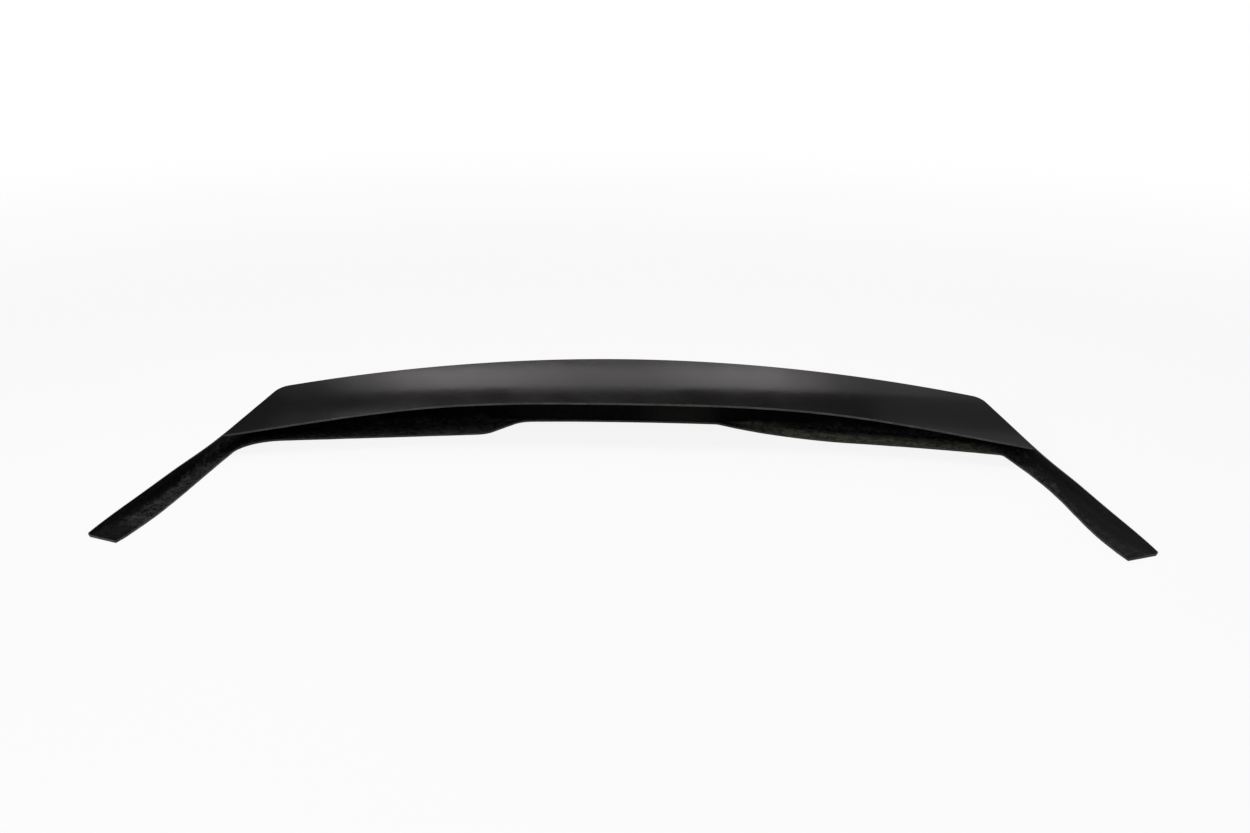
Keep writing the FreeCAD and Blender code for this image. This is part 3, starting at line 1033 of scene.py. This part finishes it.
def dry_colour(tree, bare, clumps, strands, hairs):
    """Dry mat: clumps in dark resin, with strands and hairs over them."""
    dry = mix_colour(tree, clumps, mix_colour(tree, bare, RESIN, BARE_RESIN),
                     mix_colour(tree, bare, CLUMP, BARE_CLUMP))
    dry = mix_colour(tree, times(tree, strands, 0.7), dry, mix_colour(tree, bare, STRAND, BARE_STRAND))
    return mix_colour(tree, hairs, dry, mix_colour(tree, bare, HAIR, BARE_HAIR))


def layup_material():
    material, tree, shader = new_material("raw_layup")
    coords = add(tree, "ShaderNodeTexCoord")
    place, surface = coords.outputs["Object"], coords.outputs["UV"]
    warp = strand_warp(tree, place)
    strands = strongest(tree, [
        strand_mask(tree, surface, warp, angle, STRAND_SHIFT * i, STRAND_SIZE, STRAND_LEVELS)
        for i, angle in enumerate(STRAND_ANGLES)])
    hairs = strongest(tree, [
        strand_mask(tree, surface, warp, angle, HAIR_START + HAIR_SHIFT * i, HAIR_SIZE, HAIR_LEVELS)
        for i, angle in enumerate(HAIR_ANGLES)])
    mat = add(tree, "ShaderNodeAttribute", attribute_name="fibre").outputs["Fac"]
    patchy = noise(tree, place, scale=22.0, detail=3.0, roughness=0.6)
    clumps = ramp(tree, noise(tree, place, scale=115.0, detail=1.2, roughness=0.65), 0.46, 0.57)
    bare = bare_mat(tree, place, surface, patchy)
    seen_hairs = times(tree, hairs, ramp(tree, patchy, 0.42, 0.62, 0.2, 0.85))
    colour = mix_colour(tree, mat, wet_colour(tree, place, clumps),
                        dry_colour(tree, bare, clumps, strands, seen_hairs))
    tree.links.new(colour, shader.inputs["Base Color"])
    tree.links.new(ramp(tree, mat, 0.0, 1.0, 0.42, 0.72), shader.inputs["Roughness"])
    shader.inputs["Specular IOR Level"].default_value = 0.012
    height = plus(tree, plus(tree, strands, times(tree, hairs, 0.6)), times(tree, clumps, 1.2))
    height = times(tree, height, ramp(tree, mat, 0.0, 1.0, 0.18, 1.0))
    set_bump(tree, shader, height, strength=1.0, distance=0.0012)
    return material


# Trimmed edges: ground laminate with a pale grain, stained in places and darker along the flange.
CUT_DARK, CUT_GRAIN = (0.018, 0.018, 0.018, 1), (0.060, 0.058, 0.055, 1)
CUT_STAIN, CUT_FLANGE = (0.013, 0.013, 0.013, 1), (0.005, 0.005, 0.005, 1)


def cut_material():
    material, tree, shader = new_material("cut_edge")
    place = add(tree, "ShaderNodeTexCoord").outputs["Object"]
    grain = noise(tree, place, scale=1100.0, detail=3.0, roughness=0.6)
    patch = noise(tree, place, scale=45.0, detail=3.0)
    flange = add(tree, "ShaderNodeAttribute", attribute_name="fibre").outputs["Fac"]
    colour = mix_colour(tree, ramp(tree, grain, 0.42, 0.66), CUT_DARK, CUT_GRAIN)
    colour = mix_colour(tree, ramp(tree, patch, 0.38, 0.62, 0.0, 0.55), colour, CUT_STAIN)
    colour = mix_colour(tree, times(tree, flange, 0.8), colour, CUT_FLANGE)
    tree.links.new(colour, shader.inputs["Base Color"])
    tree.links.new(ramp(tree, patch, 0.3, 0.7, 0.55, 0.75), shader.inputs["Roughness"])
    set_bump(tree, shader, grain, strength=0.6, distance=0.0003)
    return material


spoiler = bpy.data.objects.new("spoiler", make_mesh())
bpy.context.collection.objects.link(spoiler)
for material in (gelcoat_material(), layup_material(), cut_material()):
    spoiler.data.materials.append(material)
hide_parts("spoiler_shell")
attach(spoiler, "root")

# Floor, in metres: pale, and nearly white to the eye, so that only the soft shadow shows on it.
FLOOR_REACH, FLOOR_LEVEL = 40.0, -0.0004
FLOOR_DARK, FLOOR_LIGHT = (0.84, 0.84, 0.84, 1), (0.88, 0.88, 0.88, 1)
FLOOR_NEAR, FLOOR_FAR = 1.1, 3.2
FLOOR_GLOW_NEAR, FLOOR_GLOW_FAR = 0.88, 1.0


def floor_material():
    material = bpy.data.materials.new("pale_floor")
    material.use_nodes = True
    tree = material.node_tree
    tree.nodes.clear()
    place = add(tree, "ShaderNodeTexCoord").outputs["Object"]
    distance = add(tree, "ShaderNodeVectorMath", operation="LENGTH")
    tree.links.new(place, distance.inputs[0])
    matte = add(tree, "ShaderNodeBsdfDiffuse")
    tone = mix_colour(tree, noise(tree, place, scale=3.0, detail=3.0), FLOOR_DARK, FLOOR_LIGHT)
    tree.links.new(tone, matte.inputs["Color"])
    glow = add(tree, "ShaderNodeEmission", in_Color=(1, 1, 1, 1), in_Strength=1.0)
    rays = add(tree, "ShaderNodeLightPath").outputs
    seen = strongest(tree, [rays["Is Camera Ray"], rays["Is Glossy Ray"], rays["Is Transmission Ray"]])
    share = ramp(tree, distance.outputs["Value"], FLOOR_NEAR, FLOOR_FAR, FLOOR_GLOW_NEAR, FLOOR_GLOW_FAR)
    blend = add(tree, "ShaderNodeMixShader")
    tree.links.new(times(tree, seen, share), blend.inputs[0])
    tree.links.new(matte.outputs["BSDF"], blend.inputs[1])
    tree.links.new(glow.outputs["Emission"], blend.inputs[2])
    out = add(tree, "ShaderNodeOutputMaterial")
    tree.links.new(blend.outputs["Shader"], out.inputs["Surface"])
    return material


floor_mesh = bpy.data.meshes.new("floor")
floor_corners = ((-1, -1), (1, -1), (1, 1), (-1, 1))
floor_mesh.from_pydata([(x * FLOOR_REACH, y * FLOOR_REACH, FLOOR_LEVEL) for x, y in floor_corners],
                       [], [(0, 1, 2, 3)])
floor = bpy.data.objects.new("floor", floor_mesh)
floor_mesh.materials.append(floor_material())
bpy.context.collection.objects.link(floor)

# The rear softbox is brightest either side of its middle and fades towards its ends: panels of
# several sizes, one behind the other, each with its place across, width, height and radiance.
REAR_HEIGHT, SIDE_HEIGHT = 0.57, 1.10
REAR_PANELS = (
    *((-0.53, width, REAR_HEIGHT, 0.19) for width in (0.26, 0.44, 0.62, 0.80)),
    *((0.48, width, REAR_HEIGHT, 0.18) for width in (0.26, 0.42, 0.58)),
    *((0.0, width, REAR_HEIGHT, 0.31) for width in (1.20, 1.45)),
    (0.0, 1.75, REAR_HEIGHT, 0.18), (0.10, 2.10, REAR_HEIGHT, 0.12), (0.18, 2.68, REAR_HEIGHT, 0.14),
    (1.25, 0.70, SIDE_HEIGHT, 0.14))
REAR_ASIDE, REAR_Y, REAR_Z = -0.13, 1.543, 1.854
REAR_STEP_Y, REAR_STEP_Z = 0.015, 0.019
REAR_AIM_Y, REAR_AIM_Z = 0.16, 0.09
REAR_TINT, WHITE = (1.0, 0.94, 0.975), (1.0, 1.0, 1.0)

# The other lamps: name, place, aim, width, depth, radiance and tint.
LAMPS = (
    ("rear_strip", (-0.16, 1.27, 1.972), (-0.03, 0.13, 0.09), 0.55, 0.046, 0.9, REAR_TINT),
    ("top_softbox", (0.0, -0.4, 2.4), (0.0, 0.0, 0.0), 2.4, 1.4, 3.0, WHITE),
    ("front_softbox", (-1.3, -2.9, 1.75), (0.1, 0.1, 0.03), 3.0, 1.3, 4.8, WHITE),
    ("back_fill", (0.9, 3.1, 0.9), (0.0, 0.2, 0.05), 2.6, 1.2, 1.1, WHITE))
WORLD_STRENGTH = 0.09


def softbox(name, position, target, width, depth, radiance, tint):
    lamp = bpy.data.lights.new(name, "AREA")
    lamp.color = tint
    lamp.shape = "RECTANGLE"
    lamp.size = width
    lamp.size_y = depth
    lamp.energy = radiance * math.pi * width * depth
    holder = bpy.data.objects.new(name, lamp)
    holder.location = position
    aim = Vector(target) - Vector(position)
    holder.rotation_euler = aim.to_track_quat("-Z", "Y").to_euler()
    bpy.context.collection.objects.link(holder)


for i, (across, width, height, radiance) in enumerate(REAR_PANELS):
    softbox("rear_softbox", (across + REAR_ASIDE, REAR_Y + REAR_STEP_Y * i, REAR_Z + REAR_STEP_Z * i),
            (across, REAR_AIM_Y, REAR_AIM_Z), width, height, radiance, REAR_TINT)
for lamp in LAMPS:
    softbox(*lamp)

world = bpy.data.worlds.new("studio")
bpy.context.scene.world = world
world.use_nodes = True
background = world.node_tree.nodes["Background"]
background.inputs["Color"].default_value = (1, 1, 1, 1)
background.inputs["Strength"].default_value = WORLD_STRENGTH

# Camera, in metres: in front of the part and a little above it, as in the photograph.
CAMERA_PLACE = (0.06795, -2.31824, 0.84873)
CAMERA_LENS, CAMERA_SENSOR = 50.0, 36.0
DOWN, YAW, ROLL = math.radians(18.0), math.radians(-1.677), math.radians(0.38)
forward = Vector((math.sin(YAW) * math.cos(DOWN), math.cos(YAW) * math.cos(DOWN), -math.sin(DOWN)))
level = Vector((math.cos(YAW), -math.sin(YAW), 0.0))
above = level.cross(forward)
right = level * math.cos(ROLL) + above * math.sin(ROLL)
upward = above * math.cos(ROLL) - level * math.sin(ROLL)
camera_data = bpy.data.cameras.new("camera")
camera_data.lens = CAMERA_LENS
camera_data.sensor_width = CAMERA_SENSOR
camera_data.sensor_fit = "HORIZONTAL"
camera_data.dof.use_dof = False
camera = bpy.data.objects.new("camera", camera_data)
basis = Matrix((right, upward, -forward)).transposed().to_4x4()
camera.matrix_world = Matrix.Translation(CAMERA_PLACE) @ basis
bpy.context.collection.objects.link(camera)
bpy.context.scene.camera = camera

bpy.context.scene.view_settings.view_transform = "Standard"
